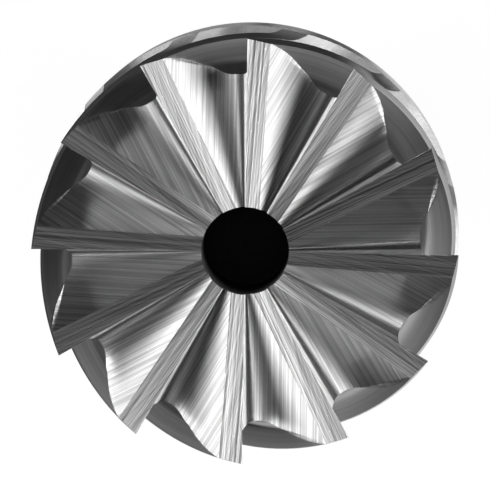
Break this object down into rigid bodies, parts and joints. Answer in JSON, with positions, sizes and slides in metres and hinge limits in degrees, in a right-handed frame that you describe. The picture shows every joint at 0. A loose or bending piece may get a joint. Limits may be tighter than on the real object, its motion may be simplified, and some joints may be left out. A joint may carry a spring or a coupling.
{
  "type": "carbide burr",
  "caption": "End-cutting cylindrical carbide burr with ground end teeth, helical side flutes, a plain band and a brazed round steel shank.",
  "frame": {"origin": "centre of the shank's flat end face, which it stands on", "axes": "+Z along the tool's axis from the shank to the end teeth, +X near one of the end cutting edges"},
  "size_m": [0.013, 0.013, 0.051],
  "materials": {
    "carbide": "ground tungsten carbide, fine grinding lines",
    "braze": "satin silver braze",
    "steel": "ground steel, fine lines around the shank"
  },
  "bodies": {
    "root": {"cutting_head": "carbide", "braze_joint": "braze", "shank": "steel"}
  },
  "joints": []
}
